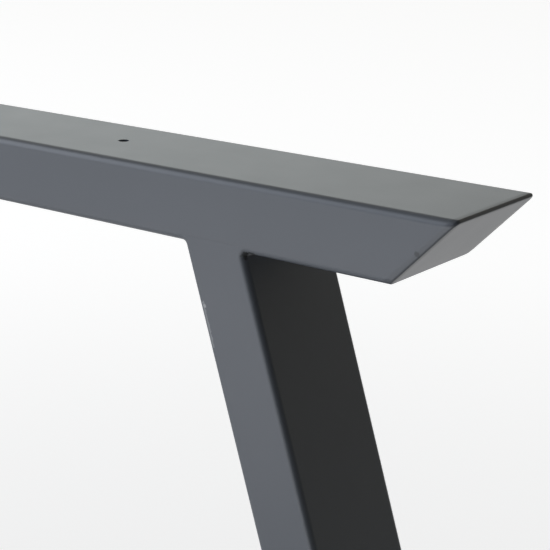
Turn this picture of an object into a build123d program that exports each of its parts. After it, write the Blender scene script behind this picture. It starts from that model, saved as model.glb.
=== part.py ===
from build123d import *
from math import cos, radians, sin, sqrt, tan
import os

# A splayed table leg frame, welded from one size of rectangular steel tube.
# Millimetres. The floor is z = 0 and the frame stands astride x = 0, y = 0.
# The bar lies along x, and the front face of the frame looks towards -y.

# The frame as a whole
frame_height = 720.0
bar_length = 700.0

# The tube that the bar and both legs are cut from
tube_depth = 80.0
tube_height = 40.0
tube_wall = 2.0
tube_corner_radius = 4.0

# The undercut ends of the bar, each closed by a plate that is ground flush
end_cut_angle = 45.0
end_plate_thickness = 4.0
end_edge_radius = 1.2

# The legs: their slant from plumb, and how far in from the tip of the bar
# the middle of a leg meets the underside of the bar
leg_slant = 17.5
leg_inset = 153.5

# The weld between a leg and the bar, flush with them at the front and back:
# how far it reaches along each of their faces at the inside and the outside,
# and how far below the flat of the bar's front face it ends
weld_reach = 2.4
weld_drop = 0.4

# The screw holes in the top of the bar, and the wider holes under them that
# let a screw and its driver in from below
screw_hole_diameter = 6.5
screw_hole_inset = 255.0
driver_hole_diameter = 16.0

# The plate that closes the foot of each leg
foot_plate_thickness = 3.0

# The push-in glides under each foot plate. Their stems are two crossed ribs,
# and the stem's diameter is that of the circle round the ribs.
glide_height = 5.0
glide_diameter = 25.0
glide_edge_bevel = 2.0
glide_inset = 16.0
stem_diameter = 8.0
stem_rib_thickness = 2.0
stem_length = 8.0
stem_clearance = 0.1

# Levels and places that follow from the sizes above
bar_underside = frame_height - tube_height
bar_middle = frame_height - tube_height / 2
weld_top = bar_underside + tube_corner_radius - weld_drop
foot_plate_top = glide_height + foot_plate_thickness
leg_top_x = bar_length / 2 - leg_inset
leg_half_cut = tube_height / 2 / cos(radians(leg_slant))
screw_hole_x = bar_length / 2 - screw_hole_inset
glide_y = tube_depth / 2 - glide_inset

# Rounding a wedge draws its tip in, so the flat faces meet beyond the tip
half_end_angle = radians(end_cut_angle / 2)
sharp_tip_x = bar_length / 2 + end_edge_radius * (1 / sin(half_end_angle) - 1)

# A length that is sure to reach right through what a blank is trimmed by
blank_reach = frame_height + bar_length


def leg_middle_x(height):
    """Return where the middle of the right leg is at a height."""
    return leg_top_x + (bar_underside - height) * tan(radians(leg_slant))


def tube_outline(inset=0.0):
    """Return the tube's rounded outline, or one set in from it all round."""
    depth = tube_depth - 2 * inset
    height = tube_height - 2 * inset
    return RectangleRounded(depth, height, tube_corner_radius - inset)


def blank(place, inset=0.0):
    """Return a long bar of the outline, centred on a plane and square to it."""
    return extrude(place * tube_outline(inset), amount=blank_reach, both=True)


def bar_blank(inset=0.0):
    """Return an untrimmed length of the bar, solid inside."""
    across_bar = Plane(origin=(0, 0, bar_middle), x_dir=(0, 1, 0), z_dir=(1, 0, 0))
    return blank(across_bar, inset)


def leg_blank(inset=0.0):
    """Return an untrimmed length of the right leg, solid inside."""
    slant = radians(leg_slant)
    down_leg = (sin(slant), 0, -cos(slant))
    return blank(Plane(origin=(leg_top_x, 0, bar_underside), x_dir=(0, 1, 0), z_dir=down_leg), inset)


def end_plane(depth_below_face):
    """Return the plane of the right end face, or one that lies inside it."""
    angle = radians(end_cut_angle)
    face = Plane(origin=(sharp_tip_x, 0, frame_height), x_dir=(0, 1, 0), z_dir=(sin(angle), 0, -cos(angle)))
    return face.offset(-depth_below_face)


def between_heights(solid, low, high):
    """Return the part of a solid between two levels."""
    lower_part = split(solid, bisect_by=Plane.XY.offset(high), keep=Keep.BOTTOM)
    return split(lower_part, bisect_by=Plane.XY.offset(low), keep=Keep.TOP)


def make_top_bar():
    """Return the bar: mitred at both ends, with its screw and driver holes."""
    bar = bar_blank() - bar_blank(tube_wall)
    plate_back = end_plane(end_plate_thickness)
    bar = split(bar, bisect_by=plate_back, keep=Keep.BOTTOM)
    bar = split(mirror(bar, about=Plane.YZ), bisect_by=plate_back, keep=Keep.BOTTOM)
    for x in (-screw_hole_x, screw_hole_x):
        bar -= Pos(x, 0, frame_height) * Cylinder(screw_hole_diameter / 2, tube_height)
        bar -= Pos(x, 0, bar_underside) * Cylinder(driver_hole_diameter / 2, tube_height)
    return bar


def make_end_plate():
    """Return the plate over the right end of the bar, its outer edges rounded."""
    plate = split(bar_blank(), bisect_by=end_plane(0), keep=Keep.BOTTOM)
    plate = split(plate, bisect_by=end_plane(end_plate_thickness), keep=Keep.TOP)
    outward = Axis((0, 0, 0), end_plane(0).z_dir)
    return fillet(plate.faces().sort_by(outward)[-1].edges(), end_edge_radius)


def make_leg():
    """Return the right leg: a tube cut level at the bar and at the foot plate."""
    return between_heights(leg_blank() - leg_blank(tube_wall), foot_plate_top, bar_underside)


def joint_outline():
    """Return the outline of the right leg's weld and of what it joins, seen from the front."""
    down_leg = Vector(sin(radians(leg_slant)), -cos(radians(leg_slant)))
    across_leg = Vector(cos(radians(leg_slant)), sin(radians(leg_slant)))
    inner_corner = Vector(leg_top_x - leg_half_cut, bar_underside)
    outer_corner = Vector(leg_top_x + leg_half_cut, bar_underside)
    inner_bar_toe = inner_corner - Vector(weld_reach, 0)
    outer_bar_toe = outer_corner + Vector(weld_reach, 0)
    inner_leg_toe = inner_corner + down_leg * weld_reach
    outer_leg_toe = outer_corner + down_leg * weld_reach
    inner_side = TangentArc(inner_bar_toe, inner_leg_toe, tangent=(1, 0))
    outer_side = TangentArc(outer_leg_toe, outer_bar_toe, tangent=-down_leg)
    step_in = across_leg * 2 * tube_corner_radius
    in_leg = Polyline(inner_leg_toe, inner_leg_toe + step_in, outer_leg_toe - step_in, outer_leg_toe)
    outer_top = (outer_bar_toe.X, bar_middle)
    inner_top = (inner_bar_toe.X, bar_middle)
    in_bar = Polyline(outer_bar_toe, outer_top, inner_top, inner_bar_toe)
    return make_face([inner_side, in_leg, outer_side, in_bar])


def make_weld():
    """Return the weld round the top of the right leg: what the rounded joint holds beside bar and leg."""
    joint = extrude(Plane.XZ * joint_outline(), amount=tube_depth / 2, both=True)
    joint = fillet(joint.edges().filter_by(GeomType.CIRCLE), tube_corner_radius)
    root = Box(bar_length, tube_depth - 2 * tube_wall, tube_corner_radius)
    weld = between_heights(joint, 0, weld_top) - Pos(leg_top_x, 0, bar_underside + tube_corner_radius / 2) * root
    return weld - bar_blank() - between_heights(leg_blank(), 0, bar_underside)


def make_foot_plate():
    """Return the plate under the right leg, with a hole for each glide."""
    plate = between_heights(leg_blank(), glide_height, foot_plate_top)
    for y in (-glide_y, glide_y):
        hole = Cylinder(stem_diameter / 2 + stem_clearance, tube_height)
        plate -= Pos(leg_middle_x(glide_height), y, glide_height) * hole
    return plate


def make_glide():
    """Return a glide standing on the origin: its pad, and the stem that is pushed into the foot plate."""
    pad = extrude(Circle(glide_diameter / 2), amount=glide_height)
    pad = chamfer(pad.edges().sort_by(Axis.Z)[0], glide_edge_bevel)
    rib = Rectangle(sqrt(stem_diameter**2 - stem_rib_thickness**2), stem_rib_thickness)
    stem_outline = rib + Rot(0, 0, 90) * rib
    return pad + extrude(Pos(0, 0, glide_height) * stem_outline, amount=stem_length)


def make_pieces():
    """Return every piece of the frame by name, left being -x and front -y."""
    pieces = {"top_bar": make_top_bar()}
    right_pieces = {
        "end_plate": make_end_plate(),
        "leg": make_leg(),
        "weld": make_weld(),
        "foot_plate": make_foot_plate(),
    }
    for name, piece in right_pieces.items():
        pieces[name + "_right"] = piece
        pieces[name + "_left"] = mirror(piece, about=Plane.YZ)
    glide = make_glide()
    for side, x in (("left", -leg_middle_x(glide_height)), ("right", leg_middle_x(glide_height))):
        for face, y in (("front", -glide_y), ("back", glide_y)):
            pieces["glide_" + side + "_" + face] = Pos(x, y, 0) * glide
    return pieces


os.makedirs("parts", exist_ok=True)
for piece_name, piece in make_pieces().items():
    export_step(piece, "parts/" + piece_name + ".step")
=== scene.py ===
"""Dresses the welded table leg frame and sets it in a plain pale studio.

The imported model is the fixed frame: x runs along the bar, y from the front face to the back, z up, in metres.
Every part of it keeps its shape and its place, and gets only its material.
"""

import logging
import math
from dataclasses import dataclass
from enum import Enum
from typing import Any

import bpy
from mathutils import Matrix, Vector


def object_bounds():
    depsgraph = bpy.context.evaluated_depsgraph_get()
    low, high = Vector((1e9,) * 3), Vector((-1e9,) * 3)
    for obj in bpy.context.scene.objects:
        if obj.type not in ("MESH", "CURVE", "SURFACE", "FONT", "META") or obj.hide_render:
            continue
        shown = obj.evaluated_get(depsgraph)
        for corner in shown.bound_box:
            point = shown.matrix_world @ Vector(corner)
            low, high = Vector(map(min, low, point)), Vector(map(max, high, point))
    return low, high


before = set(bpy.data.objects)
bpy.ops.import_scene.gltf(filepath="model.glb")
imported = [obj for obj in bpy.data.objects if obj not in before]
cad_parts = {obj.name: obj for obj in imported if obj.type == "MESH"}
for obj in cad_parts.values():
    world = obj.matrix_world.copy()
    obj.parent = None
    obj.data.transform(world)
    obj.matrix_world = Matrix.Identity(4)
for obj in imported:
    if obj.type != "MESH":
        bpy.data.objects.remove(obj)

CAD_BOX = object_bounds()

LOG = logging.getLogger("table_leg_frame")

RGB = tuple[float, float, float]
Point = tuple[float, float, float]
Span = tuple[float, float]

WHITE: RGB = (1.0, 1.0, 1.0)

# The numbers of the sockets for colours on a Mix node, which names several of its sockets alike
MIX_FACTOR, MIX_FIRST, MIX_SECOND, MIX_RESULT = 0, 6, 7, 2


def srgb(red: int, green: int, blue: int) -> RGB:
    """Turn a colour as it is seen on screen into the linear one that a shader takes.

    Args:
        red: red from 0 to 255.
        green: green from 0 to 255.
        blue: blue from 0 to 255.

    Returns:
        The linear red, green and blue, from 0 to 1.
    """
    def linear(level: int) -> float:
        """Return one channel's linear value."""
        share = level / 255
        return share / 12.92 if share <= 0.04045 else ((share + 0.055) / 1.055) ** 2.4

    return linear(red), linear(green), linear(blue)


def shaded(colour: RGB, share: float) -> RGB:
    """Return a colour with every channel multiplied by a share."""
    red, green, blue = colour
    return share * red, share * green, share * blue


class Signal:
    """A socket that ordinary arithmetic works on, each operation adding its Math node."""

    def __init__(self, shader: "Shader", socket: bpy.types.NodeSocket) -> None:
        """Hold a socket of a shader's tree."""
        self.shader = shader
        self.socket = socket

    def _math(self, operation: str, *values: Any) -> "Signal":
        """Return the result of a Math node on these values."""
        return self.shader.node("ShaderNodeMath", {"operation": operation}, dict(enumerate(values)))

    def __add__(self, other: Any) -> "Signal":
        """Return self + other."""
        return self._math("ADD", self, other)

    def __radd__(self, other: Any) -> "Signal":
        """Return other + self."""
        return self._math("ADD", other, self)

    def __sub__(self, other: Any) -> "Signal":
        """Return self - other."""
        return self._math("SUBTRACT", self, other)

    def __rsub__(self, other: Any) -> "Signal":
        """Return other - self."""
        return self._math("SUBTRACT", other, self)

    def __mul__(self, other: Any) -> "Signal":
        """Return self * other."""
        return self._math("MULTIPLY", self, other)

    def __rmul__(self, other: Any) -> "Signal":
        """Return other * self."""
        return self._math("MULTIPLY", other, self)

    def __abs__(self) -> "Signal":
        """Return the size of self, without its sign."""
        return self._math("ABSOLUTE", self)

    def root(self) -> "Signal":
        """Return the square root of self."""
        return self._math("SQRT", self)

    def greatest(self, other: Any) -> "Signal":
        """Return the larger of self and other."""
        return self._math("MAXIMUM", self, other)


class Shader:
    """The node tree of one material, or of the world, built by expressions."""

    def __init__(self, owner: bpy.types.Material | bpy.types.World) -> None:
        """Start an empty tree.

        Args:
            owner: the material or world whose tree it is.
        """
        owner.use_nodes = True
        self.tree = owner.node_tree
        self.tree.nodes.clear()

    def node(self, kind: str, settings: dict[str, Any] | None = None,
             inputs: dict[Any, Any] | None = None, output: Any = 0) -> Signal:
        """Add a node.

        Args:
            kind: the node's type.
            settings: its own settings, set before its sockets.
            inputs: values, or signals to link, by socket name or number.
            output: the name or number of the socket that is wanted.

        Returns:
            The wanted output as a signal.
        """
        made = self.tree.nodes.new(kind)
        for name, value in (settings or {}).items():
            setattr(made, name, value)
        for name, value in (inputs or {}).items():
            if isinstance(value, Signal):
                self.tree.links.new(value.socket, made.inputs[name])
            else:
                made.inputs[name].default_value = value
        return Signal(self, made.outputs[output])

    def rise(self, value: Signal, span: Span) -> Signal:
        """Return 0 below a span, 1 above it and a smooth rise within it."""
        return self.node("ShaderNodeMapRange", {"interpolation_type": "SMOOTHSTEP"},
                         {"Value": value, "From Min": span[0], "From Max": span[1]})

    def fall(self, value: Signal, span: Span) -> Signal:
        """Return 1 below a span, 0 above it and a smooth fall within it."""
        return 1 - self.rise(value, span)

    def mix(self, factor: Any, first: Any, second: Any) -> Signal:
        """Blend two colours.

        Args:
            factor: how much of the second colour there is, from 0 to 1.
            first: a colour as a tuple or a signal.
            second: the other colour.

        Returns:
            The blend.
        """
        def colour(value: Any) -> Any:
            """Return a colour with an alpha, or the signal itself."""
            return value if isinstance(value, Signal) else (*value, 1.0)

        inputs = {MIX_FACTOR: factor, MIX_FIRST: colour(first), MIX_SECOND: colour(second)}
        return self.node("ShaderNodeMix", {"data_type": "RGBA"}, inputs, output=MIX_RESULT)

    def place(self) -> Signal:
        """Return the point's place in the frame, in metres."""
        return self.node("ShaderNodeTexCoord", output="Object")

    def axes(self, vector: Signal) -> tuple[Signal, Signal, Signal]:
        """Return a vector's x, y and z."""
        parts = [self.node("ShaderNodeSeparateXYZ", inputs={0: vector}, output=axis) for axis in range(3)]
        return parts[0], parts[1], parts[2]

    def vector(self, operation: str, first: Any, second: Any = (0.0, 0.0, 0.0),
               output: str = "Value") -> Signal:
        """Return the result of a Vector Math node on one or two vectors."""
        return self.node("ShaderNodeVectorMath", {"operation": operation}, {0: first, 1: second}, output)

    def dot(self, vector: Signal, direction: Point) -> Signal:
        """Return the dot product of a vector and a direction."""
        return self.vector("DOT_PRODUCT", vector, direction)

    def noise(self, size: float, detail: float = 2.0) -> Signal:
        """Return noise from 0 to 1 whose lumps are about a size, in metres."""
        inputs = {"Vector": self.place(), "Scale": 1 / size, "Detail": detail}
        return self.node("ShaderNodeTexNoise", {"noise_dimensions": "3D"}, inputs, output="Fac")

    def wobble(self, size: float, detail: float = 2.0) -> Signal:
        """Return noise that swings evenly to both sides of 0, by a half at most."""
        return self.noise(size, detail) - 0.5

    def bump(self, height: Signal, depth: float) -> Signal:
        """Return a normal bent by a height of which 1 stands for a depth, in metres."""
        return self.node("ShaderNodeBump", inputs={"Strength": 1.0, "Distance": depth, "Height": height})

    def finish(self, kind: str, surface: Signal) -> None:
        """End the tree at its output node."""
        end = self.tree.nodes.new(kind)
        self.tree.links.new(surface.socket, end.inputs["Surface"])


@dataclass(frozen=True)
class FrameSizes:
    """The sizes of the frame that its tip and its ground ends are found by, in metres and degrees."""

    height: float = CAD_BOX[1][2]
    depth: float = CAD_BOX[1][1] - CAD_BOX[0][1]
    half_length: float = 0.350
    end_cut: float = 45.0
    end_edge_radius: float = 0.0012

    def end_plane(self) -> tuple[Point, float]:
        """Find the plane of the right end face.

        Returns:
            Its unit normal, and its distance from the origin along the normal.
        """
        angle = math.radians(self.end_cut)
        sharp_tip = self.half_length + self.end_edge_radius * (1 / math.sin(angle / 2) - 1)
        normal = (math.sin(angle), 0.0, -math.cos(angle))
        return normal, sharp_tip * normal[0] + self.height * normal[2]


SIZES = FrameSizes()


@dataclass(frozen=True)
class Mark:
    """A straight mark of colour on the coat, between two points of the frame: a painted shade, or a pale streak
    or spot.

    It has its full strength within the solid share of its radius, and fades out towards the radius.
    """

    start: Point
    end: Point
    radius: float
    strength: float
    colour: RGB
    rougher: float = 0.0
    raggedness: float = 1.0
    solid_share: float = 0.4

    def share(self, shader: Shader, ragged: Signal) -> Signal:
        """Work out how strongly the mark shows at the shaded point.

        Args:
            shader: the shader that the mark is added to.
            ragged: the noise that breaks the mark's outline up.

        Returns:
            The mark's share, from 0 to its strength.
        """
        start, end = Vector(self.start), Vector(self.end)
        along = (end - start).normalized()
        offset = shader.vector("SUBTRACT", shader.place(), tuple((start + end) / 2), output="Vector")
        length = shader.vector("LENGTH", offset)
        run = shader.dot(offset, tuple(along))
        # How far the point is beyond the mark's nearer end, and the square of how far it is beside the mark
        beyond = (abs(run) - (end - start).length / 2).greatest(0.0)
        beside_squared = (length * length - run * run).greatest(0.0)
        gap = (beside_squared + beyond * beyond).root() + self.raggedness * self.radius * ragged
        return shader.fall(gap, (self.solid_share * self.radius, self.radius)) * self.strength


@dataclass(frozen=True)
class GroundEdgeShade:
    """The rolled-off ground ends of the bar, with a painted shade that darkens their front, back and top edges.

    It fades out over a span of distances from the end face, and from the side or the top of the bar.
    """

    # How strong the painted shade is, how dark it goes as a share of the coat's colour, and how far the bump
    # rolls the edges off
    strength: float = 0.35
    darkness: float = 0.35
    roll_off: float = 0.0004
    from_end: Span = (0.0004, 0.0042)
    from_side: Span = (0.0004, 0.0055)
    from_top: Span = (0.0004, 0.0035)
    wander: float = 0.0012
    wander_size: float = 0.007
    wander_detail: float = 3.0

    def share(self, shader: Shader) -> Signal:
        """Work out how far the shaded point belongs to the line.

        Args:
            shader: the shader that the line is added to.

        Returns:
            1 on the line, 0 away from it.
        """
        x, y, z = shader.axes(shader.place())
        normal, reach = SIZES.end_plane()
        wander = self.wander * shader.wobble(self.wander_size, self.wander_detail)
        near_end = shader.fall(reach - (abs(x) * normal[0] + z * normal[2]) + wander, self.from_end)
        near_side = shader.fall(SIZES.depth / 2 - abs(y) + wander, self.from_side)
        near_top = shader.fall(SIZES.height - z + wander, self.from_top)
        return near_end * near_side.greatest(near_top)


@dataclass(frozen=True)
class PowderCoat:
    """A satin powder coat with the faint ripple of a sprayed and baked finish.

    Each size is how wide the lumps of a noise are, and a depth or an unevenness is how high they stand,
    in metres.
    """

    name: str
    colour: RGB = srgb(75, 80, 87)
    mottle: float = 0.04
    mottle_size: float = 0.05
    roughness: float = 0.38
    roughness_spread: float = 0.04
    roughness_size: float = 0.03
    ripple_size: float = 0.0035
    ripple_depth: float = 0.00001
    unevenness: float = 0.0
    unevenness_size: float = 0.006
    ground_edge_and_shade: GroundEdgeShade | None = None
    marks: tuple[Mark, ...] = ()
    ragged_size: float = 0.0015

    def material(self) -> bpy.types.Material:
        """Make the coat.

        Returns:
            The coat as a material.
        """
        made = bpy.data.materials.new(self.name)
        shader = Shader(made)
        height = shader.noise(self.ripple_size)
        if self.unevenness:
            height = height + self.unevenness / self.ripple_depth * shader.noise(self.unevenness_size)
        colour = shader.mix(shader.noise(self.mottle_size), shaded(self.colour, 1 - self.mottle),
                            shaded(self.colour, 1 + self.mottle))
        roughness = self.roughness_spread * shader.wobble(self.roughness_size) + self.roughness
        # The ground edges: a bump rolls them off, and a painted shade darkens the coat's colour along them
        if self.ground_edge_and_shade:
            edge_and_shade = self.ground_edge_and_shade.share(shader)
            height = height - self.ground_edge_and_shade.roll_off / self.ripple_depth * edge_and_shade
            dark = shaded(self.colour, self.ground_edge_and_shade.darkness)
            colour = shader.mix(edge_and_shade * self.ground_edge_and_shade.strength, colour, dark)
        ragged = shader.wobble(self.ragged_size)
        # The marks lay their colours on the coat: some are painted shade, others are pale streaks and spots
        for mark in self.marks:
            share = mark.share(shader, ragged)
            colour = shader.mix(share, colour, mark.colour)
            roughness = roughness + mark.rougher * share
        surface = shader.node("ShaderNodeBsdfPrincipled", inputs={
            "Base Color": colour,
            "Roughness": roughness,
            "Normal": shader.bump(height, self.ripple_depth),
        })
        shader.finish("ShaderNodeOutputMaterial", surface)
        return made


@dataclass(frozen=True)
class Plastic:
    """A matte moulded plastic."""

    name: str
    colour: RGB = srgb(34, 34, 35)
    mottle: float = 0.1
    mottle_size: float = 0.004
    roughness: float = 0.55
    grain_size: float = 0.0008
    grain_depth: float = 0.000008

    def material(self) -> bpy.types.Material:
        """Make the plastic.

        Returns:
            The plastic as a material.
        """
        made = bpy.data.materials.new(self.name)
        shader = Shader(made)
        surface = shader.node("ShaderNodeBsdfPrincipled", inputs={
            "Base Color": shader.mix(shader.noise(self.mottle_size), shaded(self.colour, 1 - self.mottle),
                                     shaded(self.colour, 1 + self.mottle)),
            "Roughness": self.roughness,
            "Normal": shader.bump(shader.noise(self.grain_size), self.grain_depth),
        })
        shader.finish("ShaderNodeOutputMaterial", surface)
        return made


class Part(Enum):
    """The kinds of part that get a material of their own, by how their names begin."""

    BAR = "top_bar"
    PLATE = "end_plate"
    LEG = "leg"
    WELD = "weld"
    FOOT = "foot_plate"
    GLIDE = "glide"

    @classmethod
    def of(cls, name: str) -> "Part":
        """Return the kind of the part with a name."""
        return next(kind for kind in cls if name.startswith(kind.value))


PALE_GREY = srgb(150, 152, 154)
# A near-black grey for painted shade
SHADE_GREY = srgb(20, 23, 23)

# A pale streak along the left edge of the leg's front, with a pale spot at its top
PALE_STREAK = Mark(start=(0.1897, -0.0399, 0.6470), end=(0.1973, -0.0399, 0.6225), radius=0.0010,
              strength=0.5, colour=PALE_GREY, raggedness=1.8)
PALE_SPOT = Mark(start=(0.1907, -0.0400, 0.6456), end=(0.1910, -0.0400, 0.6450), radius=0.0012,
             strength=1.0, colour=PALE_GREY, raggedness=0.4)
# Painted shade of a small nick in the front edge at the end of the bar
NICK_SHADE = Mark(start=(0.3280, -0.0400, 0.6998), end=(0.3288, -0.0400, 0.6994), radius=0.0018,
            strength=0.5, colour=SHADE_GREY, rougher=0.2, raggedness=0.8)
# Painted shade in the hollow corner of the weld at the leg's outer side, where the coat is also rougher
WELD_CORNER_SHADE = Mark(start=(0.2185, -0.0385, 0.6790), end=(0.2235, -0.0385, 0.6797), radius=0.0034,
                strength=0.95, colour=SHADE_GREY, rougher=0.5)

FINISHES = {
    Part.BAR: PowderCoat("coated_bar", ground_edge_and_shade=GroundEdgeShade(), marks=(WELD_CORNER_SHADE, NICK_SHADE)),
    Part.PLATE: PowderCoat("coated_plate", unevenness=0.00002, ground_edge_and_shade=GroundEdgeShade(), marks=(NICK_SHADE,)),
    Part.LEG: PowderCoat("coated_leg", marks=(PALE_STREAK, PALE_SPOT, WELD_CORNER_SHADE)),
    Part.WELD: PowderCoat("coated_weld", unevenness=0.00004, unevenness_size=0.004, marks=(WELD_CORNER_SHADE,)),
    Part.FOOT: PowderCoat("coated_foot", unevenness=0.00002),
    Part.GLIDE: Plastic("glide_plastic"),
}


@dataclass(frozen=True)
class LegFrame:
    """The welded frame, whose parts keep their shapes."""

    finishes: dict[Part, PowderCoat | Plastic]

    def dress(self, nodes: dict[str, bpy.types.Object]) -> None:
        """Give every part its material.

        Args:
            nodes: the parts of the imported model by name.
        """
        materials = {kind: finish.material() for kind, finish in self.finishes.items()}
        for name, node in nodes.items():
            kind = Part.of(name)
            for slot in node.material_slots:
                slot.material = materials[kind]
            LOG.info("%s is dressed as %s", name, kind.name.lower())


@dataclass(frozen=True)
class Camera:
    """The photograph's camera, which looks at the right end of the bar from the front right.

    It is placed by how far the tip of the bar lies to the right of its axis and above it, and by its distance
    from the point of the axis that is level with the tip.
    """

    azimuth: float = 37.195
    elevation: float = 16.494
    roll: float = 0.529
    lens: float = 104.32
    sensor: float = 36.0
    distance: float = 0.80494
    tip: Point = (SIZES.half_length, 0.0, SIZES.height)
    tip_right_of_axis: float = 0.11226
    tip_above_axis: float = 0.03471

    def set_up(self) -> None:
        """Make the camera and look through it."""
        azimuth = math.radians(self.azimuth)
        elevation = math.radians(self.elevation)
        back = Vector((math.sin(azimuth) * math.cos(elevation), -math.cos(azimuth) * math.cos(elevation),
                       math.sin(elevation)))
        level = Vector((math.cos(azimuth), math.sin(azimuth), 0.0))
        up = back.cross(level)
        roll = math.radians(self.roll)
        right = math.cos(roll) * level + math.sin(roll) * up
        upward = math.cos(roll) * up - math.sin(roll) * level
        aim = Vector(self.tip) - self.tip_right_of_axis * right - self.tip_above_axis * upward
        turn = Matrix((right, upward, back)).transposed().to_4x4()
        made = bpy.data.objects.new("camera", bpy.data.cameras.new("camera"))
        made.data.lens = self.lens
        made.data.sensor_width = self.sensor
        made.matrix_world = Matrix.Translation(aim + self.distance * back) @ turn
        bpy.context.scene.collection.objects.link(made)
        bpy.context.scene.camera = made


@dataclass(frozen=True)
class Lamp:
    """A square soft box whose face shows a level of light."""

    name: str
    size: float
    level: float
    place: Point
    aim: Point
    colour: RGB

    def hang(self) -> None:
        """Hang the lamp, unseen by the camera."""
        made = bpy.data.objects.new(self.name, bpy.data.lights.new(self.name, "AREA"))
        made.data.shape = "SQUARE"
        made.data.size = self.size
        made.data.energy = self.level * math.pi * self.size * self.size
        made.data.color = self.colour
        made.location = self.place
        made.rotation_euler = (Vector(self.place) - Vector(self.aim)).to_track_quat("Z", "Y").to_euler()
        made.visible_camera = False
        bpy.context.scene.collection.objects.link(made)


@dataclass(frozen=True)
class Glow:
    """A soft patch of light in the surround, which grows to its level as a direction nears its middle.

    The nearness is the cosine of the angle between the two, where the patch begins and where it is full.
    """

    level: float
    towards: Point
    nearness: Span

    def share(self, shader: Shader, direction: Signal) -> Signal:
        """Return how far a direction lies in the patch, from 0 to 1."""
        return shader.rise(shader.dot(direction, self.towards), self.nearness)


@dataclass(frozen=True)
class Surround:
    """The surround: white to the camera, and bright on the left to all that it lights."""

    white: float = 0.97
    dim: float = 0.05
    dim_colour: RGB = (1.0, 0.96, 0.86)
    lit_side: Glow = Glow(level=1.45, towards=(-0.94, 0.34, 0.0), nearness=(0.2, 0.9))
    lit_side_colour: RGB = (0.95, 1.0, 0.985)
    lit_side_top: Span = (0.3, 0.8)
    overhead: Glow = Glow(level=0.25, towards=(-0.6, 0.0, 0.8), nearness=(0.5, 0.95))
    back_right: Glow = Glow(level=0.38, towards=(0.50, 0.75, 0.43), nearness=(0.7, 1.0))

    def build(self) -> None:
        """Make the surround the scene's world."""
        world = bpy.data.worlds.new("surround")
        bpy.context.scene.world = world
        shader = Shader(world)
        direction = shader.node("ShaderNodeTexCoord", output="Generated")
        height = shader.axes(direction)[2]
        lit = self.lit_side.share(shader, direction) * shader.fall(height, self.lit_side_top)
        above = self.overhead.share(shader, direction)
        behind = self.back_right.share(shader, direction)
        level = (self.dim + self.lit_side.level * lit + self.overhead.level * above
                 + self.back_right.level * behind)
        camera_ray = shader.node("ShaderNodeLightPath", output="Is Camera Ray")
        strength = camera_ray * self.white + (1 - camera_ray) * level
        light = shader.mix(lit, self.dim_colour, self.lit_side_colour)
        colour = shader.mix(camera_ray, light, WHITE)
        surface = shader.node("ShaderNodeBackground", inputs={"Color": colour, "Strength": strength})
        shader.finish("ShaderNodeOutputWorld", surface)


@dataclass(frozen=True)
class Floor:
    """A pale floor, white to the camera but for the shadows on it, and dim on the right in reflections."""

    reach: float = 40.0
    grey: float = 0.40
    glow_near: float = 0.65
    glow_far: float = 0.80
    near_to_far: Span = (0.4, 2.6)
    reflected_left: float = 0.83
    reflected_right: float = 0.15
    towards_right: Point = (0.99, 0.12, 0.0)
    left_to_right: Span = (0.5, 1.5)

    def lay(self) -> None:
        """Lay the floor."""
        bpy.ops.mesh.primitive_plane_add(size=self.reach)
        floor = bpy.context.object
        floor.name = "floor"
        floor.data.materials.append(self.material())

    def material(self) -> bpy.types.Material:
        """Make the floor's surface.

        Returns:
            The floor's material, which glows to the camera and in reflections.
        """
        made = bpy.data.materials.new("pale_floor")
        shader = Shader(made)
        camera_ray = shader.node("ShaderNodeLightPath", output="Is Camera Ray")
        glossy_ray = shader.node("ShaderNodeLightPath", output="Is Glossy Ray")
        far = shader.rise(shader.vector("LENGTH", shader.place()), self.near_to_far)
        seen = self.glow_near + (self.glow_far - self.glow_near) * far
        right = shader.rise(shader.dot(shader.place(), self.towards_right), self.left_to_right)
        reflected = self.reflected_left * (1 - right) + self.reflected_right * right
        glow = camera_ray * seen + glossy_ray * reflected
        diffuse = shader.node("ShaderNodeBsdfDiffuse", inputs={"Color": (*shaded(WHITE, self.grey), 1.0)})
        emission = shader.node("ShaderNodeEmission", inputs={"Color": glow, "Strength": 1.0})
        surface = shader.node("ShaderNodeAddShader", inputs={0: diffuse, 1: emission})
        shader.finish("ShaderNodeOutputMaterial", surface)
        return made


@dataclass(frozen=True)
class Studio:
    """The surround, the floor and two soft lamps: the key one high at the left, the other low in front."""

    surround: Surround = Surround()
    floor: Floor = Floor()
    key: Lamp = Lamp("key", size=7.5, level=2.75, place=(-6.2, -5.2, 3.9), aim=(0.1, 0.0, 0.6),
                     colour=(0.90, 0.96, 1.09))
    low: Lamp = Lamp("low", size=2.6, level=2.0, place=(-0.25, -2.35, 0.02), aim=(-0.25, -2.35, 1.0),
                     colour=(0.98, 0.98, 1.01))

    def build(self) -> None:
        """Build the whole studio."""
        self.surround.build()
        self.floor.lay()
        self.key.hang()
        self.low.hang()
        bpy.context.scene.view_settings.view_transform = "Standard"


def main() -> None:
    """Dress the frame and build the studio round it."""
    logging.basicConfig(level=logging.INFO)
    LegFrame(FINISHES).dress(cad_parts)
    Camera().set_up()
    Studio().build()


if __name__ == "__main__":
    main()
